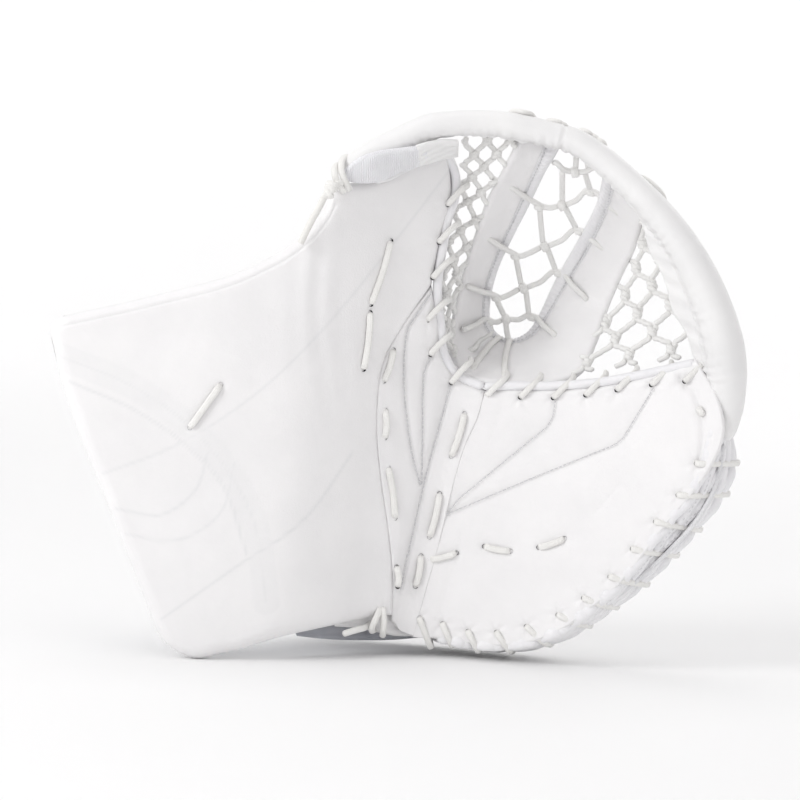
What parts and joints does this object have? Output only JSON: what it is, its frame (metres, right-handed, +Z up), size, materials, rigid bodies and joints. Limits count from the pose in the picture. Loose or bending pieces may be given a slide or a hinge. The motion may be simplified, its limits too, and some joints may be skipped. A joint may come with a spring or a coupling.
{
  "type": "ice hockey goalkeeper catch glove",
  "caption": "Goalkeeper's catch glove with a one-piece cuff and thumb board, laced palm, tubular rim and a netted pocket; it folds about two break lines.",
  "frame": {"origin": "under the middle of the glove, on the surface that it stands on", "axes": "+X from the cuff to the fingers, +Y from the catching side to the back of the hand, +Z up to the thumb's tip and the rim"},
  "size_m": [0.4421, 0.1444, 0.3558],
  "materials": {
    "white_leather": "smooth coated synthetic leather, satin",
    "white_lace": "waxed braided lace",
    "net_cord": "waxed braided lace, knotted",
    "white_mesh": "woven nylon",
    "hand_lining": "brushed knit lining",
    "rim_rod": "extruded rod",
    "stiffener": "moulded sheet",
    "hook_tape": "hook tape",
    "loop_tape": "loop tape",
    "webbing": "woven strap"
  },
  "bodies": {
    "thumb_side": {"cuff_thumb_shell": "white_leather", "cuff_thumb_core": "stiffener", "cuff_liner": "hand_lining", "cuff_edge_binding": "white_leather", "thumb_palm_panel": "white_leather", "thumb_palm_liner": "hand_lining", "thumb_back_guard": "white_leather", "thumb_gusset_outer": "white_mesh", "thumb_gusset_inner": "white_mesh", "thumb_gusset_tip": "white_mesh", "thumb_strap": "webbing", "thumb_tip_rib": "white_leather", "rim_cover_thumb": "white_leather", "rim_core_thumb": "rim_rod", "thumb_edge_lace": "white_lace", "board_lace": "white_lace", "cuff_lace": "white_lace", "tip_lace_knot": "white_lace", "tip_lace_tail": "white_lace", "cuff_strap_tab": "loop_tape"},
    "pocket": {"break_strip_skin": "white_leather", "break_strip_liner": "hand_lining", "web_bar_thumb": "white_leather", "web_bar_finger": "white_leather", "pocket_base": "white_leather", "rim_cover_top": "white_leather", "rim_core_top": "rim_rod", "net_thumb": "net_cord", "net_middle": "net_cord", "break_lace": "white_lace", "bar_lace_thumb": "white_lace", "bar_lace_finger": "white_lace", "rim_lace_top": "white_lace"},
    "finger_side": {"palm_skin": "white_leather", "palm_core": "stiffener", "palm_liner": "hand_lining", "palm_lace": "white_lace", "palm_edge_lace": "white_lace", "perimeter_roll": "white_leather", "perimeter_gusset": "white_mesh", "index_gusset": "white_mesh", "finger_divider_1": "hand_lining", "finger_divider_2": "hand_lining", "finger_divider_3": "hand_lining", "backhand_liner": "hand_lining", "backhand_core": "stiffener", "backhand_guard": "white_leather", "hand_strap_anchor": "webbing", "hand_strap_loop": "loop_tape", "rim_cover_finger": "white_leather", "rim_core_finger": "rim_rod", "rim_lace_finger": "white_lace", "net_finger": "net_cord", "perimeter_lace": "white_lace"},
    "cuff_strap": {"cuff_strap": "webbing", "cuff_strap_hook": "hook_tape"},
    "hand_strap": {"hand_strap": "webbing", "hand_strap_hook": "hook_tape"}
  },
  "joints": [
    {"name": "thumb_fold", "type": "hinge", "parent": "thumb_side", "child": "pocket", "pos_m": [0.00838, -0.0068, 0.02732], "axis": [-0.1937, 0.0727, -0.9784], "range_deg": [0, 30], "stiffness_Nm_per_rad": 1.5},
    {"name": "finger_fold", "type": "hinge", "parent": "pocket", "child": "finger_side", "pos_m": [0.02366, -0.0068, 0.02265], "axis": [-0.2657, 0.0781, -0.9609], "range_deg": [0, 30], "stiffness_Nm_per_rad": 1.5},
    {"name": "cuff_strap_peel", "type": "hinge", "parent": "thumb_side", "child": "cuff_strap", "pos_m": [-0.12188, -0.0451, 0.21044], "axis": [0.9985, 0, 0.055], "range_deg": [0, 95]},
    {"name": "hand_strap_peel", "type": "hinge", "parent": "finger_side", "child": "hand_strap", "pos_m": [0.08612, 0.04347, 0.10871], "axis": [-0.2343, 0, -0.9722], "range_deg": [0, 110]}
  ],
  "couplings": [
    {"joint": "finger_fold", "follows": "thumb_fold", "ratio": 1}
  ]
}
